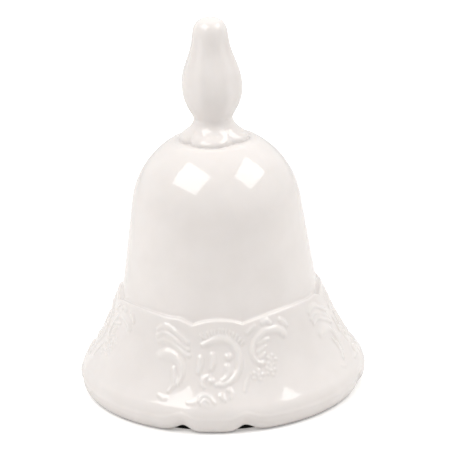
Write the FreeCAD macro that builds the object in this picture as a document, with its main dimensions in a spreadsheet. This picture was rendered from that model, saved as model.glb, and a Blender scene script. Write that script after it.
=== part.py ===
import FreeCAD, Part
import math
import os

import Sketcher

# A porcelain table bell: a slip-cast shell with a scalloped skirt, a luted handle and a hung clapper.
# The frame's origin is the centre of the plane that the rim stands on, +Z up along the bell's axis.
# The skirt's ornament repeats four times; one ornament faces -Y. All sizes are millimetres.

SIZES = {
    # shell, outside
    "dome_radius": 27.0,
    "dome_centre_height": 57.5,
    "dome_taper_degrees": 8.5,
    "foot_radius": 43.3,
    "rim_radius": 45.8,
    "rim_height": 4.6,
    "lip_round": 4.4,
    "flare_foot_radius": 43.98,
    "flare_foot_height": 9.0,
    "flare_foot_round": 7.6,
    "flare_top_radius": 34.9,
    "flare_top_height": 25.0,
    "flare_round": 47.2,
    "skirt_top_radius": 32.2,
    "skirt_top_height": 33.3,
    # scalloped upper edge of the skirt
    "cusp_offset": 7.6,
    "cusp_height": 31.0,
    "small_lobe_height": 32.6,
    "small_lobe_round": 18.8,
    "long_lobe_height": 33.0,
    "long_lobe_offset": 23.0,
    "long_lobe_round": 60.3,
    "edge_round": 0.8,
    "scallop_turn_degrees": 2.5,
    # arched notches in the rim
    "notch_offset": 9.6,
    "notch_height": 3.1,
    "notch_inner_width": 4.0,
    "notch_inner_round": 5.5,
    "notch_outer_width": 7.0,
    "notch_outer_round": 12.0,
    # shell, inside
    "wall": 3.2,
    "step_radius": 30.4,
    "step_height": 26.0,
    "inner_step_radius": 29.86,
    "inner_flare_round": 59.7,
    "inner_flare_top": 37.0,
    "inner_flare_foot_radius": 39.33,
    "inner_flare_foot_height": 9.5,
    "inner_foot_radius": 41.2,
    "inner_foot_height": 5.0,
    "inner_foot_round": 10.0,
    "crown_hole_radius": 2.6,
    "crown_height": 81.05,
    "crown_radius": 12.38,
    "shoulder_radius": 14.2,
    "shoulder_round": 4.0,
    "ceiling_height": 77.6,
    "ceiling_radius": 12.0,
    "ceiling_round": 3.0,
    # handle
    "luting_thickness": 0.3,
    "luting_inner_radius": 5.4,
    "luting_outer_radius": 7.6,
    "flutes": 8.0,
    "flute_depth": 0.05,
    "flute_turn_degrees": 8.0,
    "petals": 4.0,
    "petal_reach": 1.2,
    "petal_turn_degrees": -3.25,
    "cavity_foot_height": 83.4,
    "cavity_foot_radius": 5.0,
    # brass bush in the crown
    "bush_radius": 2.55,
    "bush_bore": 1.5,
    "bush_flange_radius": 4.2,
    "bush_flange_thickness": 0.8,
    "bush_top_height": 81.65,
    "bush_chamfer": 0.25,
    "bush_mouth": 0.4,
    # split pin hung in the bush
    "wire_radius": 0.7,
    "pin_leg_offset": 0.72,
    "pin_leg_reach": 4.0,
    "pin_eye_half_width": 3.4,
    "pin_shoulder_height": 76.1,
    "pin_bend": 1.15,
    "pin_lift": 0.05,
    "swing_height": 71.7,
    # clapper
    "eye_radius": 1.48,
    "eye_neck_round": 1.6,
    "head_radius": 1.6,
    "head_thickness": 0.6,
    "washer_radius": 2.5,
    "washer_bore": 0.75,
    "washer_thickness": 0.8,
    "sleeve_radius": 1.5,
    "sleeve_bore": 0.72,
    "sleeve_length": 4.0,
    "sleeve_waist": 1.6,
    "sleeve_waist_round": 1.25,
    "ball_radius": 7.5,
    "ball_height": 22.0,
    "ball_bore": 0.78,
    "ball_flat_radius": 2.6,
    "ball_play": 0.05,
}

# Sections of the handle, bottom to top: height, mean radius, share of the flutes, share of the petals.
COLLAR_SECTIONS = (
    (81.05, 9.9, 0.0, 1.0),
    (81.4, 10.1, 0.0, 1.0),
    (81.9, 9.95, 0.0, 0.95),
    (82.6, 9.4, 0.0, 0.8),
    (83.4, 8.65, 0.0, 0.6),
    (84.3, 7.85, 0.0, 0.4),
    (85.3, 7.1, 0.0, 0.2),
    (86.4, 6.5, 0.0, 0.08),
    (87.4, 6.2, 0.0, 0.0),
    (88.2, 6.15, 0.0, 0.0),
)
HANDLE_SECTIONS = (
    (89.2, 6.55, 0.0, 0.0),
    (90.6, 7.35, 0.2, 0.0),
    (92.6, 8.35, 0.35, 0.0),
    (95.6, 9.3, 0.5, 0.0),
    (98.6, 9.6, 0.6, 0.0),
    (102.5, 9.05, 0.75, 0.0),
    (106.0, 7.85, 0.9, 0.0),
    (109.0, 6.75, 1.0, 0.0),
    (112.0, 6.0, 0.9, 0.0),
    (114.6, 5.65, 0.4, 0.0),
    (116.6, 5.25, 0.1, 0.0),
    (118.0, 4.6, 0.0, 0.0),
    (119.0, 3.7, 0.0, 0.0),
    (119.7, 2.4, 0.0, 0.0),
    (120.0, 0.9, 0.0, 0.0),
)
SECTION_POINTS = 32

# The hollow inside the handle above its foot: height, radius.
HANDLE_CAVITY = (
    (86.0, 3.7),
    (90.4, 3.7),
    (93.5, 5.8),
    (98.5, 6.6),
    (103.0, 5.7),
    (108.0, 3.7),
    (112.0, 2.8),
)

ORNAMENTS = 4
FULL_TURN = 360.0
ORIGIN = FreeCAD.Vector(0, 0, 0)
UPWARDS = FreeCAD.Vector(0, 0, 1)
UPWARDS_IN_SKETCH = FreeCAD.Vector(0, 1, 0)

# How far a bend's ends lie from its corner, for corners of 45 degrees, as shares of the bend's radius.
HALF_TURN_TANGENT = math.tan(math.radians(22.5))
DIAGONAL_TANGENT = HALF_TURN_TANGENT * math.cos(math.radians(45.0))
# Where the clapper's eye stops short of the stem: 30 degrees below the level of its centre.
EYE_END_ACROSS = math.cos(math.radians(30.0))
EYE_END_DOWN = math.sin(math.radians(30.0))


class Size:
    """A number from the sheet, together with the expression that binds a feature to it."""

    def __init__(self, value, text):
        self.value = float(value)
        self.text = text

    def _with(self, other, sign, value):
        other_text = other.text if isinstance(other, Size) else repr(float(other))
        return Size(value, f"({self.text} {sign} {other_text})")

    def __add__(self, other):
        return self._with(other, "+", self.value + float(other))

    def __sub__(self, other):
        return self._with(other, "-", self.value - float(other))

    def __mul__(self, other):
        return self._with(other, "*", self.value * float(other))

    def __truediv__(self, other):
        return self._with(other, "/", self.value / float(other))

    def __neg__(self):
        return self * -1.0

    def __float__(self):
        return self.value


ZERO = Size(0.0, "0")


def root(size):
    return Size(math.sqrt(float(size)), f"sqrt({size.text})")


class Sheet:
    """The driving dimensions: each attribute is the Size in the cell with that alias."""

    def __init__(self, doc):
        self.cells = doc.addObject("Spreadsheet::Sheet", "Sizes")
        for row, (name, value) in enumerate(SIZES.items(), start=1):
            self.cells.set(f"A{row}", name.replace("_", " "))
            self.cells.set(f"B{row}", str(value))
            self.cells.setAlias(f"B{row}", name)
        doc.recompute()

    def __getattr__(self, name):
        return Size(self.cells.get(name), f"Sizes.{name}")


def plane_of(body, role):
    for feature in body.Origin.OriginFeatures:
        if feature.Role == role:
            return feature
    raise ValueError(role)


def new_sketch(body, name, role="XZ_Plane"):
    sketch = body.newObject("Sketcher::SketchObject", name)
    sketch.AttachmentSupport = [(plane_of(body, role), "")]
    sketch.MapMode = "FlatFace"
    return sketch


def bind(sketch, constraint, size):
    """Add a dimension to a sketch and drive it from the sheet."""
    index = sketch.addConstraint(constraint)
    sketch.setExpression(f"Constraints[{index}]", size.text)


def pin_point(sketch, edge, end, point):
    """Fix one end of an edge at a driven distance from the sketch's origin along both axes."""
    for direction, size in zip(("DistanceX", "DistanceY"), point):
        bind(sketch, Sketcher.Constraint(direction, -1, 1, edge, end, float(size)), size)


def arc_between(start, end, radius, bulge):
    """The short arc from start to end, and whether it runs that way; bulge +1 is left of the travel."""
    chord = end - start
    left = FreeCAD.Vector(-chord.y, chord.x, 0)
    left.normalize()
    depth = math.sqrt(radius**2 - (chord.Length / 2) ** 2)
    centre = (start + end) * 0.5 - left * (bulge * depth)
    circle = Part.Circle(centre, UPWARDS, radius)
    first, last = (start, end) if bulge < 0 else (end, start)
    angles = [math.atan2(point.y - centre.y, point.x - centre.x) for point in (first, last)]
    return Part.ArcOfCircle(circle, *angles), bulge < 0


def draw(sketch, steps, closed=True):
    """Draw a chain of driven points. A step is (x, y), or (x, y, radius, bulge) for an arc to the next."""
    corners = [FreeCAD.Vector(float(step[0]), float(step[1]), 0) for step in steps]
    count = len(steps) if closed else len(steps) - 1
    for here in range(count):
        start, end = corners[here], corners[(here + 1) % len(steps)]
        start_end, end_end = 1, 2
        if len(steps[here]) == 2:
            edge = sketch.addGeometry(Part.LineSegment(start, end))
        else:
            radius, bulge = steps[here][2:]
            arc, forward = arc_between(start, end, float(radius), bulge)
            edge = sketch.addGeometry(arc)
            bind(sketch, Sketcher.Constraint("Radius", edge, float(radius)), radius)
            if not forward:
                start_end, end_end = 2, 1
        pin_point(sketch, edge, start_end, steps[here][:2])
        pin_point(sketch, edge, end_end, steps[(here + 1) % len(steps)][:2])


def new_body(doc, name):
    body = doc.addObject("PartDesign::Body", name)
    body.Label = name
    return body


def add_turned(body, name, steps):
    """Turn a closed outline, drawn as radius and height, a full circle about the bell's axis."""
    sketch = new_sketch(body, name + "_outline")
    draw(sketch, steps)
    feature = body.newObject("PartDesign::Revolution", name)
    feature.Profile = sketch
    feature.ReferenceAxis = (sketch, ["V_Axis"])
    feature.Angle = FULL_TURN
    body.Document.recompute()


def cut_pockets(body, name, outlines, reach, turn):
    """Cut closed outlines outwards from the axis, once for each ornament; turn moves them towards +X."""
    sketch = new_sketch(body, name + "_outline")
    for steps in outlines:
        draw(sketch, steps)
    sketch.AttachmentOffset = FreeCAD.Placement(ORIGIN, FreeCAD.Rotation(UPWARDS_IN_SKETCH, float(turn)))
    sketch.setExpression("AttachmentOffset.Rotation.Angle", f"{turn.text} * 1 deg")
    body.Document.recompute()
    before = body.Shape.Volume
    pocket = body.newObject("PartDesign::Pocket", name)
    pocket.Profile = sketch
    pocket.setExpression("Length", reach.text)
    pocket.Reversed = True
    pattern = body.newObject("PartDesign::PolarPattern", name + "_pattern")
    pattern.Originals = [pocket]
    pattern.Axis = (plane_of(body, "Z_Axis"), [""])
    pattern.Angle = FULL_TURN
    pattern.Occurrences = ORNAMENTS
    body.Tip = pattern
    body.Document.recompute()
    if body.Shape.Volume >= before:
        raise RuntimeError(f"{name} removes nothing")


def taper(sheet):
    """Sine and cosine of the dome's taper, as driven sizes."""
    angle = sheet.dome_taper_degrees
    turned = math.radians(float(angle))
    sine = Size(math.sin(turned), f"sin({angle.text} * 1 deg)")
    cosine = Size(math.cos(turned), f"cos({angle.text} * 1 deg)")
    return sine, cosine


def cone_radius(sheet, height, offset=0.0):
    """Radius at a height of the cone that runs down tangent from a dome made smaller by offset."""
    sine, cosine = taper(sheet)
    radius = sheet.dome_radius - offset
    tangent_height = sheet.dome_centre_height + radius * sine
    return radius * cosine + (tangent_height - height) * (sine / cosine)


def sphere_height(sheet, sphere_radius, radius):
    """Height, at a radius from the axis, of a sphere about the dome's centre."""
    return sheet.dome_centre_height + root(sphere_radius * sphere_radius - radius * radius)


def dome_outline(sheet):
    """Wall of the dome, from the step inside the skirt up to the hole in the flat crown."""
    sine, cosine = taper(sheet)
    outer, inner = sheet.dome_radius, sheet.dome_radius - sheet.wall
    hole, shoulder = sheet.crown_hole_radius, sheet.shoulder_radius
    return [
        (sheet.inner_step_radius, sheet.step_height),
        (cone_radius(sheet, sheet.step_height), sheet.step_height),
        (outer * cosine, sheet.dome_centre_height + outer * sine, outer, -1),
        (shoulder, sphere_height(sheet, outer, shoulder), sheet.shoulder_round, -1),
        (sheet.crown_radius, sheet.crown_height),
        (hole, sheet.crown_height),
        (hole, sheet.ceiling_height),
        (sheet.ceiling_radius, sheet.ceiling_height, sheet.ceiling_round, 1),
        (shoulder, sphere_height(sheet, inner, shoulder), inner, 1),
        (inner * cosine, sheet.dome_centre_height + inner * sine),
        (
            cone_radius(sheet, sheet.inner_flare_top, sheet.wall),
            sheet.inner_flare_top,
            sheet.inner_flare_round,
            -1,
        ),
    ]


def skirt_outline(sheet):
    """Section of the flared skirt: foot, rounded lip, ogee flare, and the raised upper edge."""
    return [
        (sheet.inner_foot_radius, ZERO),
        (sheet.foot_radius, ZERO, sheet.lip_round, -1),
        (sheet.rim_radius, sheet.rim_height, sheet.flare_foot_round, -1),
        (sheet.flare_foot_radius, sheet.flare_foot_height, sheet.flare_round, 1),
        (sheet.flare_top_radius, sheet.flare_top_height),
        (sheet.skirt_top_radius, sheet.skirt_top_height),
        (sheet.step_radius, sheet.skirt_top_height),
        (sheet.step_radius, sheet.step_height),
        (sheet.inner_step_radius, sheet.step_height, sheet.inner_flare_round, -1),
        (
            sheet.inner_flare_foot_radius,
            sheet.inner_flare_foot_height,
            sheet.inner_foot_round,
            1,
        ),
        (sheet.inner_foot_radius, sheet.inner_foot_height),
    ]


def scallop_outline(sheet):
    """What is cut off the skirt's upper edge, seen from the front: one small lobe between two long ones."""
    side, cusp = sheet.long_lobe_offset, sheet.cusp_offset
    top = sheet.skirt_top_height + sheet.wall
    return [
        (-side, sheet.long_lobe_height, sheet.long_lobe_round, 1),
        (-cusp, sheet.cusp_height, sheet.small_lobe_round, 1),
        (ZERO, sheet.small_lobe_height, sheet.small_lobe_round, 1),
        (cusp, sheet.cusp_height, sheet.long_lobe_round, 1),
        (side, sheet.long_lobe_height),
        (side, top),
        (-side, top),
    ]


def notch_outline(sheet):
    """The pair of pointed arches in the rim, seen from the front, steep towards the small lobe."""
    peak, height = sheet.notch_offset, sheet.notch_height
    inner, outer = sheet.notch_inner_width, sheet.notch_outer_width
    below = -height
    right = [
        (peak - inner, below),
        (peak + outer, below),
        (peak + outer, ZERO, sheet.notch_outer_round, 1),
        (peak, height, sheet.notch_inner_round, 1),
        (peak - inner, ZERO),
    ]
    left = [
        (-(peak + outer), below),
        (-(peak - inner), below),
        (-(peak - inner), ZERO, sheet.notch_inner_round, 1),
        (-peak, height, sheet.notch_outer_round, 1),
        (-(peak + outer), ZERO),
    ]
    return left, right


def upper_edge_names(shape, sheet):
    """The edges round the outside of the skirt's scalloped top."""
    lowest = float(sheet.flare_top_height + sheet.cusp_height) / 2
    nearest = float(sheet.step_radius + sheet.skirt_top_radius) / 2
    names = []
    for index, edge in enumerate(shape.Edges, start=1):
        outside = all(math.hypot(v.X, v.Y) > nearest for v in edge.Vertexes)
        if outside and edge.BoundBox.ZMin > lowest:
            names.append(f"Edge{index}")
    return names


def round_upper_edge(body, sheet):
    """Soften the scalloped edge of the skirt where it stands proud of the dome."""
    scalloped = body.Tip
    fillet = body.newObject("PartDesign::Fillet", "upper_edge_round")
    fillet.Base = (scalloped, upper_edge_names(scalloped.Shape, sheet))
    fillet.setExpression("Radius", sheet.edge_round.text)
    body.Document.recompute()


def make_shell(doc, sheet):
    """The skirt and the dome in one casting, scalloped at the skirt's top and notched at its rim."""
    body = new_body(doc, "bell_shell")
    beyond_rim = sheet.rim_radius + sheet.wall
    add_turned(body, "skirt", skirt_outline(sheet))
    cut_pockets(body, "scallops", [scallop_outline(sheet)], beyond_rim, sheet.scallop_turn_degrees)
    round_upper_edge(body, sheet)
    add_turned(body, "dome", dome_outline(sheet))
    cut_pockets(body, "notches", notch_outline(sheet), beyond_rim, ZERO)
    return body


def make_luting_ring(doc, sheet):
    """The layer of fired slip that bonds the handle's foot to the crown."""
    inner, outer = sheet.luting_inner_radius, sheet.luting_outer_radius
    bottom, top = sheet.crown_height, sheet.crown_height + sheet.luting_thickness
    body = new_body(doc, "luting_ring")
    add_turned(body, "slip_layer", [(inner, bottom), (outer, bottom), (outer, top), (inner, top)])
    return body


def section(sheet, height, radius, flute_share, petal_share):
    """A smooth closed section of the handle: round, turning towards eight flutes or four petals."""
    flutes, petals = float(sheet.flutes), float(sheet.petals)
    flute_turn = math.radians(float(sheet.flute_turn_degrees))
    petal_turn = math.radians(float(sheet.petal_turn_degrees))
    hollow = radius * float(sheet.flute_depth) * flute_share / 2
    lobe = float(sheet.petal_reach) * petal_share
    points = []
    for step in range(SECTION_POINTS):
        azimuth = flute_turn + step * 2 * math.pi / SECTION_POINTS
        reach = radius - hollow * math.cos(flutes * (azimuth - flute_turn))
        reach += lobe * (2 * abs(math.cos(petals * (azimuth - petal_turn) / 2)) - 1)
        points.append(FreeCAD.Vector(reach * math.sin(azimuth), -reach * math.cos(azimuth), height))
    curve = Part.BSplineCurve()
    curve.interpolate(Points=points, PeriodicFlag=True)
    return Part.Wire([curve.toShape()])


def handle_cavity(sheet):
    """The hollow that slip casting leaves inside the handle, open below and closed by a cone at the top."""
    side_points = [FreeCAD.Vector(radius, 0, height) for height, radius in HANDLE_CAVITY]
    side = Part.BSplineCurve()
    side.interpolate(Points=side_points)
    foot_radius = float(sheet.cavity_foot_radius)
    floor_height = float(sheet.crown_height - sheet.luting_thickness)
    tip = FreeCAD.Vector(0, 0, side_points[-1].z + side_points[-1].x)
    floor = FreeCAD.Vector(0, 0, floor_height)
    foot = FreeCAD.Vector(foot_radius, 0, floor_height)
    foot_top = FreeCAD.Vector(foot_radius, 0, float(sheet.cavity_foot_height))
    corners = [side_points[-1], tip, floor, foot, foot_top, side_points[0]]
    edges = [Part.LineSegment(a, b).toShape() for a, b in zip(corners, corners[1:])]
    face = Part.Face(Part.Wire([side.toShape(), *edges]))
    return face.revolve(ORIGIN, UPWARDS, FULL_TURN)


def make_handle(doc, sheet):
    """A hollow baluster: lofted outside, cast cavity inside, and a shallow recess for the slip."""
    sections = [section(sheet, *level) for level in COLLAR_SECTIONS + HANDLE_SECTIONS]
    outside = doc.addObject("Part::Feature", "handle_outside")
    outside.Shape = Part.makeLoft(sections, True, False)
    cavity = doc.addObject("Part::Feature", "handle_hollow")
    cavity.Shape = handle_cavity(sheet)
    recess = doc.addObject("Part::Cylinder", "slip_recess")
    recess.setExpression("Radius", sheet.luting_outer_radius.text)
    recess.setExpression("Height", sheet.luting_thickness.text)
    recess.setExpression("Placement.Base.z", sheet.crown_height.text)
    hollowed = cut(doc, "handle_hollowed", outside, cavity)
    return cut(doc, "handle", hollowed, recess)


def cut(doc, name, base, tool):
    feature = doc.addObject("Part::Cut", name)
    feature.Label = name
    feature.Base = base
    feature.Tool = tool
    return feature


def make_crown_bush(doc, sheet):
    """A flanged brass bush, cemented into the crown from below, that the split pin turns in."""
    seat = sheet.ceiling_height
    underside = seat - sheet.bush_flange_thickness
    bore, mouth, chamfer = sheet.bush_bore, sheet.bush_mouth, sheet.bush_chamfer
    body = new_body(doc, "crown_bush")
    outline = [
        (bore + chamfer, underside),
        (sheet.bush_flange_radius - chamfer, underside),
        (sheet.bush_flange_radius, underside + chamfer),
        (sheet.bush_flange_radius, seat),
        (sheet.bush_radius, seat),
        (sheet.bush_radius, sheet.bush_top_height - chamfer),
        (sheet.bush_radius - chamfer, sheet.bush_top_height),
        (bore + mouth, sheet.bush_top_height),
        (bore, sheet.bush_top_height - mouth),
        (bore, underside + chamfer),
    ]
    add_turned(body, "flanged_tube", outline)
    return body


def add_wire(body, sheet, role, steps, start):
    """Sweep round wire along an open path; start is where the path leaves square to another plane."""
    path = new_sketch(body, body.Label + "_path", role)
    draw(path, steps, closed=False)
    plane, offset, centre = start
    end = new_sketch(body, body.Label + "_end", plane)
    end.setExpression("AttachmentOffset.Base.z", offset.text)
    circle = Part.Circle(
        FreeCAD.Vector(float(centre[0]), float(centre[1]), 0),
        UPWARDS,
        float(sheet.wire_radius),
    )
    edge = end.addGeometry(circle)
    bind(end, Sketcher.Constraint("Radius", edge, float(sheet.wire_radius)), sheet.wire_radius)
    pin_point(end, edge, 3, centre)
    body.Document.recompute()
    wire = body.newObject("PartDesign::AdditivePipe", body.Label + "_wire")
    wire.Profile = end
    wire.Spine = path
    body.Document.recompute()


def with_mirror_image(half):
    """Continue a path, left to right, with its own mirror image across the axis."""
    other = []
    for here in range(len(half) - 1, -1, -1):
        arrival = half[here - 1][2:] if here else ()
        other.append((-half[here][0], half[here][1], *arrival))
    return half + other


def make_split_pin(doc, sheet):
    """Bent wire: an eye with a straight lower bar, and two legs spread above the bush."""
    leg, wide, bend = sheet.pin_leg_offset, sheet.pin_eye_half_width, sheet.pin_bend
    shoulder, bar = sheet.pin_shoulder_height, sheet.swing_height
    lower_corner = shoulder - (wide - leg)
    top = sheet.bush_top_height + sheet.wire_radius + sheet.pin_lift
    along, across = bend * HALF_TURN_TANGENT, bend * DIAGONAL_TANGENT
    half = [
        (-sheet.pin_leg_reach, top),
        (-(leg + bend), top, bend, 1),
        (-leg, top - bend),
        (-leg, shoulder + along, bend, 1),
        (-(leg + across), shoulder - across),
        (-(wide - across), lower_corner + across, bend, -1),
        (-wide, lower_corner - along),
        (-wide, bar + bend, bend, -1),
        (-(wide - bend), bar),
    ]
    body = new_body(doc, "split_pin")
    start = ("YZ_Plane", -sheet.pin_leg_reach, (ZERO, top))
    add_wire(body, sheet, "XZ_Plane", with_mirror_image(half), start)
    return body


def make_clapper_wire(doc, sheet):
    """Stem wire with an eye closed round the pin's bar, and a riveted head under the ball."""
    eye, neck, swing = sheet.eye_radius, sheet.eye_neck_round, sheet.swing_height
    reach = eye + neck
    drop = root(reach * reach - neck * neck)
    head_top = bottom_washer_height(sheet)
    steps = [
        (ZERO, head_top - sheet.head_thickness),
        (ZERO, swing - drop, neck, 1),
        (neck * eye / reach, swing - drop * eye / reach, eye, -1),
        (eye, swing, eye, -1),
        (ZERO, swing + eye, eye, -1),
        (-eye, swing, eye, -1),
        (-eye * EYE_END_ACROSS, swing - eye * EYE_END_DOWN),
    ]
    body = new_body(doc, "clapper_wire")
    start = ("XY_Plane", head_top - sheet.head_thickness, (ZERO, ZERO))
    add_wire(body, sheet, "YZ_Plane", steps, start)
    chamfer = sheet.head_thickness / 3.0
    head = [
        (ZERO, head_top - sheet.head_thickness),
        (sheet.head_radius - chamfer, head_top - sheet.head_thickness),
        (sheet.head_radius, head_top - sheet.head_thickness + chamfer),
        (sheet.head_radius, head_top),
        (ZERO, head_top),
    ]
    add_turned(body, "head", head)
    return body


def ball_flat_height(sheet):
    """Height of the small flats at the ball's two poles, above and below its centre."""
    ball, flat = sheet.ball_radius, sheet.ball_flat_radius
    return root(ball * ball - flat * flat)


def bottom_washer_height(sheet):
    """Height of the lower washer's underside."""
    flat = sheet.ball_height - ball_flat_height(sheet)
    return flat - sheet.ball_play - sheet.washer_thickness


def make_washer(doc, sheet, name, underside):
    outer, bore, round_off = sheet.washer_radius, sheet.washer_bore, sheet.washer_thickness / 4.0
    top = underside + sheet.washer_thickness
    body = new_body(doc, name)
    outline = [
        (bore, underside),
        (outer - round_off, underside, round_off, -1),
        (outer, underside + round_off),
        (outer, top - round_off, round_off, -1),
        (outer - round_off, top),
        (bore, top),
    ]
    add_turned(body, name + "_disc", outline)
    return body


def make_stop_sleeve(doc, sheet, underside):
    """A brass sleeve crimped on the stem, with a rolled waist, that keeps the ball down."""
    outer, bore, length = sheet.sleeve_radius, sheet.sleeve_bore, sheet.sleeve_length
    shoulder = (length - sheet.sleeve_waist) / 2.0
    body = new_body(doc, "stop_sleeve")
    outline = [
        (bore, underside),
        (outer, underside),
        (outer, underside + shoulder, sheet.sleeve_waist_round, 1),
        (outer, underside + shoulder + sheet.sleeve_waist),
        (outer, underside + length),
        (bore, underside + length),
    ]
    add_turned(body, "crimped_tube", outline)
    return body


def make_ball(doc, sheet):
    """The glazed porcelain bead that strikes the shell, bored through and flat at both poles."""
    bore, flat, ball = sheet.ball_bore, sheet.ball_flat_radius, sheet.ball_radius
    middle, pole = sheet.ball_height, ball_flat_height(sheet)
    body = new_body(doc, "clapper_ball")
    outline = [
        (bore, middle - pole),
        (flat, middle - pole, ball, -1),
        (ball, middle, ball, -1),
        (flat, middle + pole),
        (bore, middle + pole),
    ]
    add_turned(body, "bead", outline)
    return body


def failed(feature):
    return any(word in state for state in feature.State for word in ("Invalid", "Error"))


def main():
    doc = FreeCAD.newDocument("porcelain_bell")
    sheet = Sheet(doc)
    lower_washer = bottom_washer_height(sheet)
    upper_washer = sheet.ball_height + ball_flat_height(sheet) + sheet.ball_play
    pieces = [
        make_shell(doc, sheet),
        make_luting_ring(doc, sheet),
        make_handle(doc, sheet),
        make_crown_bush(doc, sheet),
        make_split_pin(doc, sheet),
        make_clapper_wire(doc, sheet),
        make_washer(doc, sheet, "lower_washer", lower_washer),
        make_ball(doc, sheet),
        make_washer(doc, sheet, "upper_washer", upper_washer),
        make_stop_sleeve(doc, sheet, upper_washer + sheet.washer_thickness),
    ]
    doc.recompute()
    broken = [feature.Label for feature in doc.Objects if failed(feature)]
    bad = [p.Label for p in pieces if p.Shape.isNull() or not p.Shape.isValid() or len(p.Shape.Solids) != 1]
    if broken or bad:
        raise RuntimeError(f"failed features: {broken}; bad shapes: {bad}")
    os.makedirs("parts", exist_ok=True)
    for piece in pieces:
        piece.Shape.exportStep(f"parts/{piece.Label}.step")


main()
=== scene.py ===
import math

import bmesh
import bpy
import numpy as np
from mathutils import Matrix, Vector


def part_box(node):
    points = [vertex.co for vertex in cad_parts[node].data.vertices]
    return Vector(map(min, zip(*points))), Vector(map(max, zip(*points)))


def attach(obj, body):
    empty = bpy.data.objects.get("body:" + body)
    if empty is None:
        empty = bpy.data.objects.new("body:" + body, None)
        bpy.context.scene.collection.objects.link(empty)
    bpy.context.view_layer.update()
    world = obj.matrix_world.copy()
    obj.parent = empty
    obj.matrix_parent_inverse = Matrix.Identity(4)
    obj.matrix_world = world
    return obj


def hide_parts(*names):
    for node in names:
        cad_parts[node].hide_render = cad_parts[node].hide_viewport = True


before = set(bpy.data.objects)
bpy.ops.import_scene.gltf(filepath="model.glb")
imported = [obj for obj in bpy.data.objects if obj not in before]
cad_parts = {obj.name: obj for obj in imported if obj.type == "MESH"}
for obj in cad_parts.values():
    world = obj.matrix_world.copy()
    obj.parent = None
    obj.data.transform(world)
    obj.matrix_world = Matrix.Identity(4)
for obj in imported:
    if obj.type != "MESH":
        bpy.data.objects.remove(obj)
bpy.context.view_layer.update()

# Shapes are worked out in millimetres, as radius and height about the bell's axis.
MM = 0.001
CROWN_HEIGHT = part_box("bell_shell")[1].z / MM
TOP_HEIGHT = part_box("handle")[1].z / MM

# The ornament, the scallops and the notches repeat four times round the bell.
REPEATS = 4
PERIOD = 360.0 / REPEATS
# Mesh: points along one repeat, of which plain stretches keep one in so many, and rows up the skirt.
COLUMNS, THINNING = 210, 4
SKIRT_ROWS = 74
AZIMUTH = np.linspace(-PERIOD / 2, PERIOD / 2, COLUMNS, endpoint=False)
ALL_ROUND = np.radians(np.concatenate([AZIMUTH + PERIOD * turn for turn in range(REPEATS)]))

# Skirt: (height, radius) where one arc of its section meets the next.
FOOT = (0.0, 43.3)
CREASE = (4.6, 45.8)
FLARE_FOOT = (9.0, 43.98)
FLARE_TOP = (25.0, 34.9)
SKIRT_TOP = (33.3, 32.2)
LIP_ROUND, FLARE_FOOT_ROUND, FLARE_ROUND = 4.4, 7.6, 62.0

# Scalloped upper edge: (distance aside, height), and the ledge between it and the dome.
SCALLOP_TURN = 2.5
CUSP, LONG_LOBE = (7.6, 31.0), (23.0, 33.0)
SMALL_LOBE_ROUND, LONG_LOBE_ROUND = 18.8, 60.3
EXTRA_LOBE_AT, EXTRA_LOBE_WIDTH, EXTRA_LOBE_RISE = -18.5, 4.5, 0.6
EDGE_ROUND = 0.8
LEDGE_FILLET = 0.6

# Pointed arches in the rim: (distance aside, height).
NOTCH_INNER, NOTCH_PEAK, NOTCH_OUTER = (5.6, 0.0), (9.6, 3.1), (16.6, 0.0)
NOTCH_INNER_ROUND, NOTCH_OUTER_ROUND = 5.5, 12.0
# The crease above the lip: how far up it lies, how much of the notches it follows, and its bead.
CREASE_LIFT, CREASE_RISE = 0.5, 0.85
CREASE_BEAD, CREASE_BEAD_WIDTH = 0.16, 0.6
# How far the lip is drawn in where the crease rises, as a share of the flare's own slant.
PLEAT_DEPTH = 0.4
# The glaze rounds the notches: how many points each of the two roundings reaches to both sides.
CREASE_ROUNDING, LIP_ROUNDING = (5, 4), (4, 4)
# Where the lip's rings lie, from the crease (1) down to the table (0), and the bevel of the bare foot.
LIP_SHARES = (0.9, 0.78, 0.64, 0.5, 0.36, 0.22, 0.1)
FOOT_BEVEL = 0.25

# Dome: a ball on a tapered tube, under a flat crown.
DOME_RADIUS, DOME_CENTRE, TAPER = 27.0, 57.5, math.radians(8.5)
WALL = 3.2
CROWN_EDGE, SHOULDER = 12.38, 14.2
SHOULDER_ROUND, CEILING_ROUND = 4.0, 3.0
CEILING_HEIGHT, CEILING_EDGE = 77.6, 12.0
HOLE_RADIUS = 2.6
# How far the two rings of the flat crown lie from its hole and from its edge.
CROWN_MARGIN = 3.0
# Where the rings of the tapered tube lie.
DOME_LEVELS = (55.0, 48.0, 41.0, 36.5, 34.2)

# Inside of the skirt: (height, radius).
INNER_FOOT, INNER_FLARE, INNER_TOP = (5.0, 41.2), (9.5, 39.33), (37.0, 27.13)
INNER_FOOT_ROUND, INNER_FLARE_ROUND = 10.0, 59.7
INNER_DOME_LEVELS = (45.0, 53.0)


def arc(at, start, end, radius, side):
    """Values on the short arc from start to end; side is 1 to bulge upwards and -1 to hang down."""
    run, rise = end[0] - start[0], end[1] - start[1]
    length = math.hypot(run, rise)
    depth = side * math.sqrt(radius**2 - length**2 / 4) / length
    centre = (start[0] + end[0]) / 2 + depth * rise
    base = (start[1] + end[1]) / 2 - depth * run
    return base + side * np.sqrt(np.maximum(radius**2 - (at - centre) ** 2, 0.0))


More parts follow.
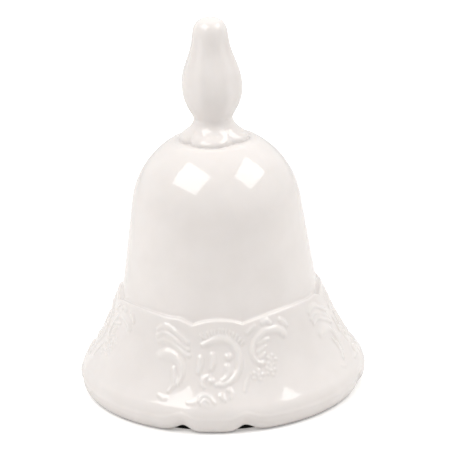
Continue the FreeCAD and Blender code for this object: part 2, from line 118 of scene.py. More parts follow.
def smooth_curve(points, steps):
    """A smooth curve through all the points, with so many steps between each two."""
    points = np.asarray(points, float)
    padded = np.vstack((2 * points[0] - points[1], points, 2 * points[-1] - points[-2]))
    share = np.linspace(0, 1, steps, endpoint=False)[:, None]
    pieces = []
    for a, b, c, d in zip(padded, padded[1:], padded[2:], padded[3:]):
        bend = 2 * a - 5 * b + 4 * c - d
        twist = 3 * b - a - 3 * c + d
        pieces.append(b + 0.5 * (share * (c - a) + share**2 * bend + share**3 * twist))
    return np.vstack((*pieces, points[-1]))


def folded(azimuth, turn=0.0):
    """The azimuth within one repeat, in radians, with the small lobe's middle at zero."""
    return np.radians((azimuth - turn + PERIOD / 2) % PERIOD - PERIOD / 2)


def skirt_radius(height):
    """Outside of the skirt above the crease."""
    lower = arc(height, CREASE, FLARE_FOOT, FLARE_FOOT_ROUND, 1)
    middle = arc(height, FLARE_FOOT, FLARE_TOP, FLARE_ROUND, -1)
    slope = (SKIRT_TOP[1] - FLARE_TOP[1]) / (SKIRT_TOP[0] - FLARE_TOP[0])
    upper = FLARE_TOP[1] + (height - FLARE_TOP[0]) * slope
    return np.select([height < FLARE_FOOT[0], height < FLARE_TOP[0]], [lower, middle], upper)


def dome_radius(height, radius=DOME_RADIUS):
    """Outside of the dome, or its inside for the smaller radius."""
    tangent = DOME_CENTRE + radius * math.sin(TAPER)
    ball = np.sqrt(np.maximum(radius**2 - (height - DOME_CENTRE) ** 2, 0.0))
    cone = radius * math.cos(TAPER) + (tangent - height) * math.tan(TAPER)
    return np.where(height > tangent, ball, cone)


def inner_radius(height):
    """Inside of the bell below the ceiling's round."""
    foot = arc(height, INNER_FOOT, INNER_FLARE, INNER_FOOT_ROUND, 1)
    flare = arc(height, INNER_FLARE, INNER_TOP, INNER_FLARE_ROUND, -1)
    dome = dome_radius(height, DOME_RADIUS - WALL)
    limits = [height < INNER_FOOT[0], height < INNER_FLARE[0], height < INNER_TOP[0]]
    return np.select(limits, [INNER_FOOT[1], foot, flare], dome)


def edge_height(azimuth):
    """Height of the skirt's scalloped upper edge."""
    aside = np.abs(SKIRT_TOP[1] * np.sin(folded(azimuth, SCALLOP_TURN)))
    small = arc(aside, (-CUSP[0], CUSP[1]), CUSP, SMALL_LOBE_ROUND, 1)
    long = arc(aside, CUSP, LONG_LOBE, LONG_LOBE_ROUND, 1)
    bump = EXTRA_LOBE_RISE * np.exp(-(((azimuth - EXTRA_LOBE_AT) / EXTRA_LOBE_WIDTH) ** 2))
    return np.where(aside < CUSP[0], small, long) + bump


def notch_lift(azimuth, radius):
    """How far the rim's lower edge is lifted off the table."""
    aside = np.abs(radius * np.sin(folded(azimuth)))
    inner = arc(aside, NOTCH_INNER, NOTCH_PEAK, NOTCH_INNER_ROUND, -1)
    outer = arc(aside, NOTCH_PEAK, NOTCH_OUTER, NOTCH_OUTER_ROUND, -1)
    lift = np.where(aside < NOTCH_PEAK[0], inner, outer)
    return np.where((aside > NOTCH_INNER[0]) & (aside < NOTCH_OUTER[0]), lift, 0.0)


# The ornament is drawn on a flat sheet: along is the arc at this radius, up is the way up the slope.
SHEET_RADIUS = 38.0
SLOPE_STRETCH = 1.13
# How many steps a stroke's curve takes between two of its points.
STROKE_STEPS = 8
# A stroke's sides run out past its half-width by this factor, with this softness at the foot.
STROKE_SKIRT, STROKE_SOFTNESS = 1.15, 1.5
# All heights in the drawing are multiplied by this. Touching strokes blend more sharply with a higher power.
RELIEF_HEIGHT = 1.3
BLEND_POWER = 3.0


def on_sheet(points):
    """(azimuth in degrees, height) to flat millimetres."""
    points = np.asarray(points, float)
    along = np.radians(points[..., 0]) * SHEET_RADIUS
    return np.stack((along, points[..., 1] * SLOPE_STRETCH), axis=-1)


def stroke(points, widths, height):
    """A rounded ridge along a curve through (azimuth, height) points; widths are half-widths along it."""
    return {"path": smooth_curve(on_sheet(points), STROKE_STEPS), "widths": widths, "height": height}


def bead(azimuth, height, radius, proud):
    """A round boss: a very short stroke."""
    return stroke([(azimuth, height), (azimuth + 0.1, height)], (radius, radius), proud)


def add_stroke(relief, sheet, item):
    """Raise the relief where the stroke passes, running softly into the strokes that touch it."""
    path, widths = item["path"], np.asarray(item["widths"], float)
    length = np.concatenate(([0.0], np.cumsum(np.hypot(*np.diff(path, axis=0).T))))
    stations = np.linspace(0, length[-1], len(widths))
    near = np.full(relief.shape, np.inf)
    for start, end, done, total in zip(path, path[1:], length, length[1:]):
        run = end - start
        share = np.clip(((sheet - start) @ run) / max(run @ run, 1e-9), 0, 1)
        gap = np.hypot(*np.moveaxis(sheet - start - share[..., None] * run, -1, 0))
        here = np.interp(done + share * (total - done), stations, widths)
        near = np.minimum(near, gap / here)
    profile = np.maximum(1 - (near / STROKE_SKIRT) ** 2, 0.0) ** STROKE_SOFTNESS
    mound = RELIEF_HEIGHT * item["height"] * profile
    relief[:] = (relief**BLEND_POWER + mound**BLEND_POWER) ** (1 / BLEND_POWER)


def fan_of_ticks():
    """Short spokes in an arc below the small lobe."""
    hub = np.array((4.5, 20.0))
    reach = 0.16
    feet = smooth_curve([(-5.4, 27.2), (1.6, 28.4), (8.2, 28.0), (14.2, 25.2)], 4)
    return [stroke([foot, foot + (foot - hub) * reach], (0.48, 0.54), 0.2) for foot in feet]


def centre_scroll():
    """The C-scroll with its inner drops and beads."""
    rim = [
        (-5.2, 25.5), (-2.1, 26.3), (1.5, 27.0), (5.6, 27.1), (9.1, 26.0), (11.4, 24.0), (12.4, 21.7),
        (12.2, 19.2), (10.7, 17.1), (8.3, 15.6), (5.4, 14.7), (1.6, 14.5),
    ]
    return [
        stroke(rim, (1.0, 1.5, 1.75, 1.6, 1.35, 1.2, 1.15, 1.05, 0.95, 0.85), 0.42),
        bead(-1.0, 15.6, 1.2, 0.5),
        stroke([(-2.1, 16.8), (-4.2, 16.2), (-5.0, 14.8), (-4.1, 13.8)], (0.7, 0.8, 0.8, 0.6), 0.28),
        stroke([(-6.3, 21.7), (-6.2, 19.7), (-6.8, 17.8)], (1.1, 1.2, 0.75), 0.36),
        stroke([(-0.3, 22.6), (-0.1, 20.6), (-1.0, 18.7)], (1.2, 1.2, 0.75), 0.38),
        bead(7.4, 22.0, 1.35, 0.42),
        stroke([(6.6, 19.3), (7.1, 17.8), (6.1, 16.4), (3.8, 15.6)], (1.1, 1.1, 0.85, 0.6), 0.34),
    ]


def rosette():
    """A small folded shell, and two drops beside it."""
    outer = [(-6.0, 10.2), (-5.0, 11.5), (-3.0, 11.8), (-1.2, 11.2), (0.4, 9.9)]
    inner = [(-4.9, 9.5), (-3.4, 10.7), (-1.5, 10.0)]
    return [
        stroke([(-4.6, 10.3), (-1.4, 9.9)], (1.9, 1.8), 0.26),
        stroke([(-10.4, 9.7), (-7.4, 10.0)], (0.5, 0.85), 0.24),
        stroke(outer, (0.55, 0.7, 0.7, 0.65, 0.5), 0.42),
        stroke(inner, (0.45, 0.6, 0.45), 0.4),
        stroke([(3.7, 11.6), (4.6, 10.5)], (1.1, 0.7), 0.32),
        stroke([(7.0, 13.1), (7.8, 12.1), (7.4, 11.0)], (0.95, 0.75, 0.5), 0.3),
    ]


def left_flank():
    """Three folded fronds over a crescent."""
    fronds = [
        [(-30.6, 28.8), (-28.0, 29.8), (-24.5, 29.8), (-19.4, 28.3), (-13.2, 26.0)],
        [(-30.4, 26.9), (-27.4, 27.8), (-24.0, 27.5), (-18.8, 26.0), (-12.9, 23.9)],
        [(-29.2, 25.3), (-26.0, 26.0), (-22.4, 25.6), (-17.8, 24.0), (-12.3, 22.2)],
    ]
    crescent = [
        (-27.2, 21.5), (-23.9, 22.0), (-19.8, 21.8), (-16.5, 20.5),
        (-14.8, 18.4), (-14.8, 16.3), (-16.0, 14.3),
    ]
    return [stroke(points, (1.1, 1.2, 1.1, 1.0, 0.95), 0.34) for points in fronds] + [
        stroke(crescent, (1.6, 2.1, 1.9, 1.5, 1.25, 1.0, 0.8), 0.42),
        stroke([(-19.1, 18.2), (-17.9, 16.1), (-17.8, 13.9), (-19.5, 12.2)], (0.8, 0.95, 0.85, 0.65), 0.3),
        stroke([(-23.6, 10.8), (-21.6, 10.3), (-19.8, 10.5)], (0.6, 0.8, 0.6), 0.12),
    ]


def right_flank():
    """A leaning C-scroll with leaflets inside, buds above and small flowers below."""
    rim = [
        (38.2, 25.9), (36.4, 27.2), (32.5, 28.0), (27.2, 27.9), (22.9, 26.4),
        (20.3, 24.4), (19.3, 22.1), (20.6, 20.1), (22.6, 19.2),
    ]
    leaflets = [
        [(22.4, 22.3), (24.6, 23.2), (26.4, 23.8)],
        [(23.0, 24.7), (25.8, 25.3), (28.7, 25.6)],
        [(23.0, 20.9), (24.4, 21.4), (25.4, 21.8)],
    ]
    items = [
        stroke(rim, (1.5, 1.7, 1.55, 1.35, 1.2, 1.1, 1.0, 0.9, 0.8), 0.42),
        bead(23.3, 19.3, 1.05, 0.48),
        stroke([(27.2, 30.6), (29.2, 30.9), (31.0, 30.2)], (1.1, 1.3, 1.0), 0.36),
        stroke([(37.5, 30.2), (39.4, 29.3), (40.6, 28.3)], (1.1, 1.3, 0.95), 0.36),
        stroke([(18.1, 28.3), (20.6, 29.5), (22.1, 30.1)], (0.8, 1.0, 0.7), 0.28),
        stroke([(16.8, 16.7), (15.0, 15.0), (13.5, 12.4)], (0.45, 0.6, 0.45), 0.22),
    ]
    items += [stroke(points, (0.95, 1.0, 0.7), 0.32) for points in leaflets]
    for azimuth, height in ((28.3, 19.6), (20.2, 16.2), (26.6, 16.9)):
        items.extend(flower(azimuth, height))
    return items


def flower(azimuth, height):
    """Round dots about a middle one."""
    dots, reach_aside, reach_up = 5, 2.1, 1.25
    items = [bead(azimuth, height, 0.8, 0.26)]
    for turn in np.linspace(0, 2 * math.pi, dots, endpoint=False):
        aside, up = reach_aside * math.cos(turn), reach_up * math.sin(turn)
        items.append(bead(azimuth + aside, height + up, 0.75, 0.2))
    return items


def ornament(azimuth, height):
    """Height of the relief at each point, for azimuths within one repeat."""
    sheet = on_sheet(np.stack((azimuth, height), axis=-1))
    relief = np.zeros(height.shape)
    for part in (fan_of_ticks, centre_scroll, rosette, left_flank, right_flank):
        for item in part():
            add_stroke(relief, sheet, item)
    return relief


def rounded_lift(rounding):
    """The notches' lift at the crease, averaged over that many neighbours to both sides, time after time."""
    lift = notch_lift(AZIMUTH, CREASE[1])
    for reach in rounding:
        lift = np.mean([np.roll(lift, step) for step in range(-reach, reach + 1)], axis=0)
    return lift


def crease_height():
    """Height along the crease, which rises softly over each notch."""
    return CREASE[0] + CREASE_LIFT + CREASE_RISE * rounded_lift(CREASE_ROUNDING)


def ring(radius, height, thin=1):
    """One closed ring of points from values over one repeat; thin keeps one point in so many."""
    radius = np.tile(np.broadcast_to(radius, COLUMNS), REPEATS)
    height = np.tile(np.broadcast_to(height, COLUMNS), REPEATS)
    points = np.column_stack((radius * np.sin(ALL_ROUND), -radius * np.cos(ALL_ROUND), height))
    return points[::thin]


def crown_rings():
    """From the ceiling, through the hole, over the crown and down its shoulder."""
    hole = [(HOLE_RADIUS, CEILING_HEIGHT), (HOLE_RADIUS, CROWN_HEIGHT)]
    coarse = hole + [(HOLE_RADIUS + CROWN_MARGIN, CROWN_HEIGHT)]
    rings = [ring(radius, height, THINNING) for radius, height in coarse]
    rings.append(ring(CROWN_EDGE - CROWN_MARGIN, CROWN_HEIGHT))
    shoulder_height = DOME_CENTRE + math.sqrt(DOME_RADIUS**2 - SHOULDER**2)
    for radius in np.linspace(CROWN_EDGE, SHOULDER, 5):
        height = arc(radius, (CROWN_EDGE, CROWN_HEIGHT), (SHOULDER, shoulder_height), SHOULDER_ROUND, 1)
        rings.append(ring(radius, height))
    return rings


def dome_rings(edge):
    """Down the dome to just above the skirt's ledge."""
    rings = []
    for tilt in np.linspace(math.acos(SHOULDER / DOME_RADIUS), TAPER, 15)[1:]:
        rings.append(ring(DOME_RADIUS * math.cos(tilt), DOME_CENTRE + DOME_RADIUS * math.sin(tilt)))
    for height in (*DOME_LEVELS, edge + LEDGE_FILLET):
        rings.append(ring(dome_radius(height), height))
    return rings


def ledge_rings(edge):
    """The hollow beside the dome, the ledge and the skirt's rounded edge; also the height where that ends."""
    wall = dome_radius(edge)
    rings = []
    for turn in np.radians((30.0, 60.0, 90.0)):
        out = LEDGE_FILLET * (1 - math.cos(turn))
        rings.append(ring(wall + out, edge + LEDGE_FILLET * (1 - math.sin(turn))))
    slope = math.atan((FLARE_TOP[1] - SKIRT_TOP[1]) / (SKIRT_TOP[0] - FLARE_TOP[0]))
    skirt_top = edge - EDGE_ROUND * (1 - math.sin(slope))
    centre = skirt_radius(skirt_top) - EDGE_ROUND * math.cos(slope)
    for turn in np.linspace(math.pi / 2, slope, 7):
        rings.append(ring(centre + EDGE_ROUND * math.cos(turn), edge - EDGE_ROUND * (1 - math.sin(turn))))
    return rings, skirt_top


def skirt_rings(top, bottom):
    """The flared skirt with its relief; also returns the relief of each ring."""
    share = np.linspace(0, 1, SKIRT_ROWS)[1:, None]
    height = top + (bottom - top) * share
    relief = ornament(np.broadcast_to(AZIMUTH, height.shape), height)
    relief = relief + CREASE_BEAD * np.maximum(1 - (height - bottom) / CREASE_BEAD_WIDTH, 0.0)
    nudge = 0.01
    slope = (skirt_radius(height + nudge) - skirt_radius(height - nudge)) / (2 * nudge)
    slant = np.sqrt(1 + slope**2)
    radius = skirt_radius(height) + relief / slant
    lifted = height - relief * slope / slant
    rings = [ring(r, z) for r, z in zip(radius, lifted)]
    return rings, [np.tile(row, REPEATS) for row in relief]


def lip_rings(crease):
    """The rounded lip below the crease, lifted and pulled in at the notches, and the bare foot."""
    rings = []
    pull = PLEAT_DEPTH * (CREASE[1] - skirt_radius(crease))
    lift = rounded_lift(LIP_ROUNDING)
    for share in (*LIP_SHARES, FOOT_BEVEL / CREASE[0]):
        radius = arc(CREASE[0] * share, FOOT, CREASE, LIP_ROUND, 1) - pull
        rings.append(ring(radius, lift + (crease - lift) * share))
    rings.append(ring(FOOT[1] - pull - FOOT_BEVEL, lift))
    inner_lift = notch_lift(AZIMUTH, INNER_FOOT[1])
    rings.append(ring(INNER_FOOT[1] + FOOT_BEVEL, inner_lift))
    rings.append(ring(INNER_FOOT[1], inner_lift + FOOT_BEVEL))
    return rings


def inside_rings():
    """Up the inside to the ceiling."""
    foot = np.linspace(INNER_FOOT[0], INNER_FLARE[0], 4)
    flare = np.linspace(INNER_FLARE[0], INNER_TOP[0], 10)[1:]
    heights = (*foot, *flare, *INNER_DOME_LEVELS)
    rings = [ring(inner_radius(height), height, THINNING) for height in heights]
    inner = DOME_RADIUS - WALL
    for tilt in np.linspace(TAPER, math.acos(SHOULDER / inner), 9):
        rings.append(ring(inner * math.cos(tilt), DOME_CENTRE + inner * math.sin(tilt), THINNING))
    shoulder_height = DOME_CENTRE + math.sqrt(inner**2 - SHOULDER**2)
    for radius in np.linspace(SHOULDER, CEILING_EDGE, 4)[1:]:
        height = arc(radius, (CEILING_EDGE, CEILING_HEIGHT), (SHOULDER, shoulder_height), CEILING_ROUND, 1)
        rings.append(ring(radius, height, THINNING))
    return rings


def bridge(lower, upper):
    """Faces between two rings of point numbers; the longer is a whole number of times the shorter."""
    if len(lower) < len(upper):
        return [face[::-1] for face in bridge(upper, lower)]
    if len(upper) == 1:
        return [(lower[i - 1], lower[i], upper[0]) for i in range(len(lower))]
    ratio = len(lower) // len(upper)
    faces = []
    for i in range(len(upper)):
        many = [lower[(i * ratio + j) % len(lower)] for j in range(ratio + 1)]
        faces.append((*many, upper[(i + 1) % len(upper)], upper[i]))
    return faces


def skin(name, rings, looped=False):
    """A mesh object over a stack of rings, each ring's points in millimetres."""
    starts = np.cumsum([0] + [len(points) for points in rings])
    numbers = [list(range(a, b)) for a, b in zip(starts, starts[1:])]
    faces = []
    for lower, upper in zip(numbers, numbers[1:]):
        faces.extend(bridge(lower, upper))
    if looped:
        faces.extend(bridge(numbers[-1], numbers[0]))
    mesh = bpy.data.meshes.new(name)
    mesh.from_pydata((np.vstack(rings) * MM).tolist(), [], faces)
    work = bmesh.new()
    work.from_mesh(mesh)
    bmesh.ops.recalc_face_normals(work, faces=work.faces)
    work.to_mesh(mesh)
    work.free()
    mesh.polygons.foreach_set("use_smooth", [True] * len(mesh.polygons))
    piece = bpy.data.objects.new(name, mesh)
    bpy.context.scene.collection.objects.link(piece)
    return piece


def store(piece, name, values):
    """Keep one number per point for the material to read."""
    attribute = piece.data.attributes.new(name, "FLOAT", "POINT")
    attribute.data.foreach_set("value", np.asarray(values, np.float32))


def make_shell():
    """The porcelain body as one closed skin, from the hole in the crown round the rim and back inside."""
    edge = edge_height(AZIMUTH)
    crease = crease_height()
    above = crown_rings() + dome_rings(edge)
    ledge, skirt_top = ledge_rings(edge)
    skirt, relief = skirt_rings(skirt_top, crease)
    below = lip_rings(crease) + inside_rings()
    rings = above + ledge + skirt + below
    piece = skin("porcelain_shell", rings, looped=True)
    flat = [np.zeros(len(points)) for points in rings]
    first = len(above) + len(ledge)
    flat[first : first + len(skirt)] = relief
    store(piece, "relief", np.concatenate(flat))
    return piece


# Handle, from the crown to the cap: height, mean radius, share of the flutes, share of the petals.
HANDLE_OUTLINE = (
    (81.05, 10.5, 0.0, 1.0), (81.15, 10.15, 0.0, 1.0), (81.45, 10.1, 0.0, 1.0), (82.1, 10.0, 0.0, 0.95),
    (82.8, 9.6, 0.0, 0.85), (83.5, 8.95, 0.0, 0.65), (84.3, 8.05, 0.0, 0.4), (85.3, 7.15, 0.0, 0.2),
    (86.4, 6.5, 0.0, 0.08), (87.4, 6.2, 0.0, 0.0), (88.2, 6.15, 0.0, 0.0), (89.2, 6.55, 0.0, 0.0),
    (90.6, 7.35, 0.2, 0.0), (92.6, 8.35, 0.35, 0.0), (95.6, 9.3, 0.5, 0.0), (98.6, 9.6, 0.6, 0.0),
    (102.5, 9.05, 0.75, 0.0), (106.0, 7.85, 0.9, 0.0), (109.0, 6.75, 1.0, 0.0), (112.0, 6.0, 0.9, 0.0),
    (114.6, 5.65, 0.4, 0.0), (116.6, 5.25, 0.1, 0.0), (118.0, 4.6, 0.0, 0.0), (119.0, 3.7, 0.0, 0.0),
    (119.7, 2.4, 0.0, 0.0), (119.97, 1.0, 0.0, 0.0),
)
HANDLE_COLUMNS, HANDLE_STEPS = 240, 4
FLUTES, FLUTE_DEPTH, FLUTE_TURN = 8, 0.075, math.radians(8.0)
PETALS, PETAL_REACH, PETAL_TURN = 4, 0.95, math.radians(-3.25)
# Its hollow, from the top down: (height, radius).
HOLLOW = (
    (112.0, 2.8), (108.0, 3.7), (103.0, 5.7), (98.5, 6.6), (93.5, 5.8), (90.4, 3.7), (86.0, 3.7),
    (83.4, 5.0),
)
SLIP_RADIUS, SLIP_THICKNESS = 7.6, 0.3


def handle_ring(height, radius, flute=0.0, petal=0.0):
    """A ring that turns from round towards the flutes or the petals, by their shares."""
    azimuth = np.linspace(0, 2 * math.pi, HANDLE_COLUMNS, endpoint=False)
    hollow = radius * FLUTE_DEPTH * flute / 2 * np.cos(FLUTES * (azimuth - FLUTE_TURN))
    lobe = 2 * np.abs(np.cos(PETALS * (azimuth - PETAL_TURN) / 2)) - 1
    reach = radius - hollow + PETAL_REACH * petal * lobe
    level = np.full(HANDLE_COLUMNS, height)
    return np.column_stack((reach * np.sin(azimuth), -reach * np.cos(azimuth), level))


def make_handle():
    """The baluster handle: petalled collar, fluted bulb and cap outside, the cast hollow inside."""
    outside = [handle_ring(*level) for level in smooth_curve(HANDLE_OUTLINE, HANDLE_STEPS)]
    top = [np.array([(0.0, 0.0, TOP_HEIGHT)])]
    slip_top = CROWN_HEIGHT + SLIP_THICKNESS
    tip_height, tip_radius = HOLLOW[0]
    inside = [np.array([(0.0, 0.0, tip_height + tip_radius)])]
    inside += [handle_ring(height, radius) for height, radius in HOLLOW]
    recess = ((slip_top, HOLLOW[-1][1]), (slip_top, SLIP_RADIUS), (CROWN_HEIGHT, SLIP_RADIUS))
    inside += [handle_ring(height, radius) for height, radius in recess]
    return skin("porcelain_handle", inside + outside + top)


def connect(socket, value):
    """Link another node's output to the socket, or set it to a plain value."""
    if isinstance(value, bpy.types.NodeSocket):
        socket.id_data.links.new(value, socket)
    else:
        socket.default_value = value


def node_maker(name):
    """A new material, and a function that adds a node to it with its inputs set."""
    material = bpy.data.materials.new(name)
    material.use_nodes = True
    tree = material.node_tree
    tree.nodes.clear()

    def add(kind, **inputs):
        node = tree.nodes.new(kind)
        for key, value in inputs.items():
            connect(node.inputs[key.replace("_", " ")], value)
        return node

    return material, add


def colour(red, green, blue):
    """An opaque colour."""
    return (red, green, blue, 1.0)


def noise(add, place, size, detail=2.0):
    """Noise whose lumps are about size millimetres across."""
    return add("ShaderNodeTexNoise", Vector=place, Scale=1 / (size * MM), Detail=detail).outputs["Fac"]


def spread(add, value, low, high, start=0.35, end=0.65):
    """Run from low to high while the value runs from start to end, by default the middle of a noise."""
    node = add("ShaderNodeMapRange", Value=value)
    for key, number in (("From Min", start), ("From Max", end), ("To Min", low), ("To Max", high)):
        node.inputs[key].default_value = number
    return node.outputs["Result"]


def mixed(add, share, first, second):
    """A colour between the first (share 0) and the second (share 1)."""
    node = add("ShaderNodeMix")
    node.data_type = "RGBA"
    factor, first_colour, second_colour, mixed_colour = 0, 6, 7, 2
    connect(node.inputs[factor], share)
    connect(node.inputs[first_colour], first)
    connect(node.inputs[second_colour], second)
    return node.outputs[mixed_colour]


def joined(add, share, first, second):
    """A surface between the first (share 0) and the second (share 1)."""
    node = add("ShaderNodeMixShader", Fac=share)
    connect(node.inputs[1], first)
    connect(node.inputs[2], second)
    return node.outputs["Shader"]


def worked_out(add, operation, first, second):
    """The result of a sum or comparison of two numbers."""
    node = add("ShaderNodeMath")
    node.operation = operation
    connect(node.inputs[0], first)
    connect(node.inputs[1], second)
    return node.outputs["Value"]


def bumped(add, height, distance, strength=1.0, normal=None):
    """A bump whose height runs over distance millimetres."""
    node = add("ShaderNodeBump", Height=height, Distance=distance * MM, Strength=strength)
    if normal is not None:
        connect(node.inputs["Normal"], normal)
    return node.outputs["Normal"]


def finish_material(material, add, surface):
    """The material, with this surface as its outcome."""
    add("ShaderNodeOutputMaterial", Surface=surface)
    return material


def stored(add, name):
    """The number kept for each point under this name; zero on pieces that have none."""
    node = add("ShaderNodeAttribute")
    node.attribute_name = name
    return node.outputs["Fac"]


# Glaze: the two tones of its mottling on the bell and on the ball, and its tone where it is thin.
GLAZE_WHITE, GLAZE_GREY = colour(0.845, 0.805, 0.787), colour(0.82, 0.78, 0.76)
BALL_WHITE, BALL_GREY = colour(0.86, 0.845, 0.825), colour(0.82, 0.805, 0.785)
THIN_GLAZE = colour(0.92, 0.89, 0.865)
# Light inside the porcelain: its share, how deep it goes in millimetres, and how far red, green and blue do.
SCATTER_SHARE, SCATTER_DEPTH, SCATTER_REACH = 0.12, 1.5, (1.0, 0.85, 0.7)


def glaze(name, white, grey):
    """Glossy glaze over white porcelain: faint mottling, slightly uneven gloss, soft ripples.

    It is paler where it runs thin over the raised relief, and light enters the body a little way.
    """
    material, add = node_maker(name)
    place = add("ShaderNodeTexCoord").outputs["Object"]
    mottle = spread(add, noise(add, place, 9.0, 4.0), 0.0, 1.0)
    body = mixed(add, mottle, white, grey)
    thinness = spread(add, stored(add, "relief"), low=0.0, high=0.35, start=0.1, end=0.7)
    body = mixed(add, thinness, body, THIN_GLAZE)
    gloss = spread(add, noise(add, place, 3.0, 3.0), 0.045, 0.085)
    ripple = bumped(add, noise(add, place, 7.0, 1.0), 0.03)
    peel = bumped(add, noise(add, place, 0.7, 1.0), 0.0012, 1.0, ripple)
    surface = add("ShaderNodeBsdfPrincipled", Base_Color=body, Roughness=gloss, IOR=1.5, Normal=peel)
    surface.inputs["Subsurface Weight"].default_value = SCATTER_SHARE
    surface.inputs["Subsurface Radius"].default_value = SCATTER_REACH
    surface.inputs["Subsurface Scale"].default_value = SCATTER_DEPTH * MM
    return finish_material(material, add, surface.outputs["BSDF"])


def bare_porcelain(name):
    """The unglazed foot: fine-grained, matt, a little soiled."""
    material, add = node_maker(name)
    place = add("ShaderNodeTexCoord").outputs["Object"]
    soil = spread(add, noise(add, place, 2.5, 5.0), 0.0, 1.0)
    body = mixed(add, soil, colour(0.72, 0.66, 0.57), colour(0.56, 0.47, 0.37))
    grain = bumped(add, noise(add, place, 0.15, 2.0), 0.03)
    surface = add("ShaderNodeBsdfPrincipled", Base_Color=body, Roughness=0.8, Normal=grain)
    return finish_material(material, add, surface.outputs["BSDF"])


def brass(name, dullness):
    """Drawn brass with a thin, patchy tarnish."""
    material, add = node_maker(name)
    place = add("ShaderNodeTexCoord").outputs["Object"]
    tarnish = spread(add, noise(add, place, 1.8, 5.0), 0.0, 1.0)
    body = mixed(add, tarnish, colour(0.80, 0.60, 0.27), colour(0.52, 0.37, 0.17))
    rough = spread(add, noise(add, place, 1.2, 4.0), dullness, dullness + 0.2)
    scratches = bumped(add, noise(add, place, 0.12, 2.0), 0.004)
    surface = add("ShaderNodeBsdfPrincipled", Base_Color=body, Roughness=rough, Normal=scratches)
    surface.inputs["Metallic"].default_value = 1.0
    return finish_material(material, add, surface.outputs["BSDF"])


def leather(name):
    """Vegetable-tanned leather: pebbled grain and uneven dye."""
    material, add = node_maker(name)
    place = add("ShaderNodeTexCoord").outputs["Object"]
    dye = spread(add, noise(add, place, 1.5, 4.0), 0.0, 1.0)
    body = mixed(add, dye, colour(0.30, 0.16, 0.08), colour(0.42, 0.25, 0.13))
    pebbles = add("ShaderNodeTexVoronoi", Vector=place, Scale=1 / (0.35 * MM)).outputs["Distance"]
    grain = bumped(add, pebbles, 0.05)
    surface = add("ShaderNodeBsdfPrincipled", Base_Color=body, Roughness=0.62, Normal=grain)
    return finish_material(material, add, surface.outputs["BSDF"])


def dress(piece, *materials):
    """Give a piece its materials in place of those it has."""
    piece.data.materials.clear()
    for material in materials:
        piece.data.materials.append(material)


def bare_foot(piece, index):
    """Use the material with this number on the rim's underside, which was wiped clean of glaze."""
    facing_down = -0.9
    for face in piece.data.polygons:
        radius = math.hypot(face.center.x, face.center.y)
        on_rim = INNER_FOOT[1] * MM < radius < FOOT[1] * MM and face.center.z < NOTCH_PEAK[1] * MM
        if on_rim and face.normal.z < facing_down:
            face.material_index = index


def build_pieces():
    """The shell and the handle, in place of their plain CAD shapes."""
    white_glaze = glaze("white_glaze", GLAZE_WHITE, GLAZE_GREY)
    shell = make_shell()
    dress(shell, white_glaze, bare_porcelain("bare_foot"))
    bare_foot(shell, 1)
    handle = make_handle()
    dress(handle, white_glaze)
    for piece, node in ((shell, "bell_shell"), (handle, "handle")):
        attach(piece, "bell")
        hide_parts(node)


def dress_nodes():
    """Materials for the small parts that keep their CAD shape."""
    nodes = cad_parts
    wire = brass("wire_brass", 0.18)
    dress(nodes["luting_ring"], bare_porcelain("fired_slip"))
    dress(nodes["crown_bush"], brass("bush_brass", 0.28))
    dress(nodes["split_pin"], wire)
    dress(nodes["clapper_wire"], wire)
    dress(nodes["stop_sleeve"], brass("sleeve_brass", 0.24))
    dress(nodes["clapper_ball"], glaze("ball_glaze", BALL_WHITE, BALL_GREY))
    washer = leather("washer_leather")
    dress(nodes["lower_washer"], washer)
    dress(nodes["upper_washer"], washer)


# Table top: its front edge, back edge and half-width in metres, and its colours: white paper, and the
# near-black painted shadow the camera sees on it under the bell.
FLOOR_FRONT, FLOOR_BACK, FLOOR_SIDE = -1.15, 3.0, 2.5
PAPER_WHITE, PAINTED_SHADOW = colour(0.86, 0.855, 0.85), colour(0.01, 0.01, 0.01)
# To the camera the paper gets a painted glow like an overexposed backdrop, washing out the bell's shadow; it
# fades to nothing inside the rim, so the paper is painted darker near the bell, and is full from this many
# times the lip's radius.
PAINTED_GLOW, GLOW_REACH = 0.7, 1.15


def floor_material():
    """White paper with a camera-only painted glow, and a near-black painted shadow under the bell; clear from
    below, and clear to the light inside the rim.
    """
    material, add = node_maker("floor_white")
    place = add("ShaderNodeTexCoord").outputs["Object"]
    length = add("ShaderNodeVectorMath", Vector=place)
    length.operation = "LENGTH"
    distance = length.outputs["Value"]
    seen = add("ShaderNodeLightPath").outputs["Is Camera Ray"]
    behind = add("ShaderNodeNewGeometry").outputs["Backfacing"]
    # Painted glow: camera-only light on the paper, none inside the rim and rising outwards past the lip.
    painted_glow = spread(add, distance, 0.0, PAINTED_GLOW, INNER_FLARE[1] * MM, GLOW_REACH * CREASE[1] * MM)
    strength = worked_out(add, "MULTIPLY", painted_glow, seen)
    paper = add("ShaderNodeAddShader")
    connect(paper.inputs[0], add("ShaderNodeBsdfDiffuse", Color=PAPER_WHITE).outputs["BSDF"])
    connect(paper.inputs[1], add("ShaderNodeEmission", Strength=strength).outputs["Emission"])
    inside = worked_out(add, "LESS_THAN", distance, INNER_FOOT[1] * MM)
    # Painted shadow: inside the foot, camera rays see near-black paper; all other rays pass through there.
    painted_shadow = add("ShaderNodeBsdfDiffuse", Color=PAINTED_SHADOW).outputs["BSDF"]
    ground = joined(add, inside, paper.outputs["Shader"], painted_shadow)
    unseen = worked_out(add, "SUBTRACT", inside, seen)
    clear = worked_out(add, "MAXIMUM", behind, unseen)
    see_through = add("ShaderNodeBsdfTransparent").outputs["BSDF"]
    return finish_material(material, add, joined(add, clear, ground, see_through))


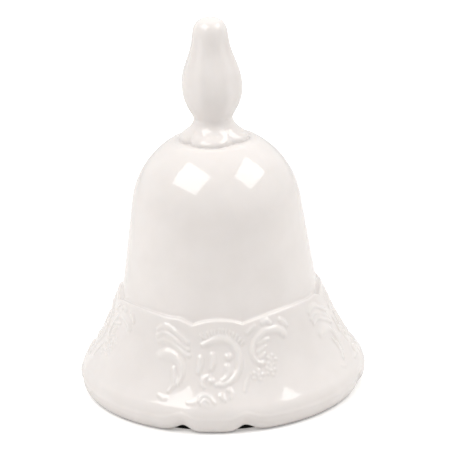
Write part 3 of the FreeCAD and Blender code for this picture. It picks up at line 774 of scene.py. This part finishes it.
def make_floor():
    """A white table top that ends in front of the bell, carrying its material's painted glow and painted
    shadow.
    """
    mesh = bpy.data.meshes.new("floor")
    front = [(-FLOOR_SIDE, FLOOR_FRONT, 0), (FLOOR_SIDE, FLOOR_FRONT, 0)]
    back = [(FLOOR_SIDE, FLOOR_BACK, 0), (-FLOOR_SIDE, FLOOR_BACK, 0)]
    mesh.from_pydata(front + back, [], [(0, 1, 2, 3)])
    floor = bpy.data.objects.new("floor", mesh)
    bpy.context.scene.collection.objects.link(floor)
    dress(floor, floor_material())


# Studio: how brightly it lights the bell from in front and from behind, and where one turns into the other.
STUDIO_FRONT, STUDIO_BACK = 0.27, 0.88
STUDIO_TURN = (-0.6, 0.5)
STUDIO_COLOUR = colour(1.0, 0.995, 0.985)


def make_world():
    """A white studio to the camera; as a light it is bright behind the bell and dim in front of it."""
    world = bpy.data.worlds.new("studio")
    world.use_nodes = True
    tree = world.node_tree
    tree.nodes.clear()
    direction = tree.nodes.new("ShaderNodeTexCoord").outputs["Generated"]
    split = tree.nodes.new("ShaderNodeSeparateXYZ")
    connect(split.inputs["Vector"], direction)
    depth = tree.nodes.new("ShaderNodeMapRange")
    connect(depth.inputs["Value"], split.outputs["Y"])
    for end, turn, light in (("Min", STUDIO_TURN[0], STUDIO_FRONT), ("Max", STUDIO_TURN[1], STUDIO_BACK)):
        connect(depth.inputs[f"From {end}"], turn)
        connect(depth.inputs[f"To {end}"], light)
    strength = tree.nodes.new("ShaderNodeMix")
    seen, as_light, to_camera = strength.inputs[0], strength.inputs[2], strength.inputs[3]
    connect(seen, tree.nodes.new("ShaderNodeLightPath").outputs["Is Camera Ray"])
    connect(as_light, depth.outputs["Result"])
    connect(to_camera, 1.0)
    background = tree.nodes.new("ShaderNodeBackground")
    connect(background.inputs["Color"], STUDIO_COLOUR)
    connect(background.inputs["Strength"], strength.outputs[0])
    output = tree.nodes.new("ShaderNodeOutputWorld")
    connect(output.inputs["Surface"], background.outputs["Background"])
    bpy.context.scene.world = world


def direction_of(azimuth, elevation):
    """Unit vector; azimuth 0 points to the front of the bell, and grows towards +X."""
    a, e = math.radians(azimuth), math.radians(elevation)
    return Vector((math.sin(a) * math.cos(e), -math.cos(a) * math.cos(e), math.sin(e)))


SOFTBOX_DISTANCE = 0.9
SOFTBOX_COLOUR = (1.0, 0.99, 0.97)


def make_softbox(name, azimuth, elevation, width, height, power):
    """A rectangular studio light that faces the dome; sizes in metres, power in watts."""
    target = Vector((0, 0, DOME_CENTRE * MM))
    out = direction_of(azimuth, elevation)
    data = bpy.data.lights.new(name, "AREA")
    data.shape = "RECTANGLE"
    data.size, data.size_y = width, height
    data.energy = power
    data.color = SOFTBOX_COLOUR
    light = bpy.data.objects.new(name, data)
    bpy.context.scene.collection.objects.link(light)
    turn = (-out).to_track_quat("-Z", "Y").to_matrix().to_4x4()
    light.matrix_world = Matrix.Translation(target + out * SOFTBOX_DISTANCE) @ turn


# Camera: the distance, direction and framing of the reference view.
CAMERA_DISTANCE = 0.7
CAMERA_AZIMUTH, CAMERA_ELEVATION, CAMERA_ROLL = 4.5, 18.78, 2.22
CAMERA_LENS, SENSOR = 173.9, 36.0
CAMERA_SHIFT = (0.0273, -0.0590)


def make_camera():
    """A long lens that looks down on the bell, tilted a little to one side."""
    data = bpy.data.cameras.new("camera")
    data.lens, data.sensor_width = CAMERA_LENS, SENSOR
    data.shift_x, data.shift_y = CAMERA_SHIFT
    camera = bpy.data.objects.new("camera", data)
    bpy.context.scene.collection.objects.link(camera)
    out = direction_of(CAMERA_AZIMUTH, CAMERA_ELEVATION)
    middle = Vector((0, 0, TOP_HEIGHT * MM / 2))
    tilt = Matrix.Rotation(math.radians(-CAMERA_ROLL), 3, "Z")
    turn = (-out).to_track_quat("-Z", "Y").to_matrix() @ tilt
    camera.matrix_world = Matrix.Translation(middle + out * CAMERA_DISTANCE) @ turn.to_4x4()
    bpy.context.scene.camera = camera


build_pieces()
dress_nodes()
make_floor()
make_world()
make_softbox("left_softbox", azimuth=-52.0, elevation=53.5, width=0.66, height=0.5, power=4.6)
make_softbox("right_softbox", azimuth=84.0, elevation=48.5, width=0.6, height=0.4, power=3.3)
make_camera()
bpy.context.scene.view_settings.view_transform = "Standard"
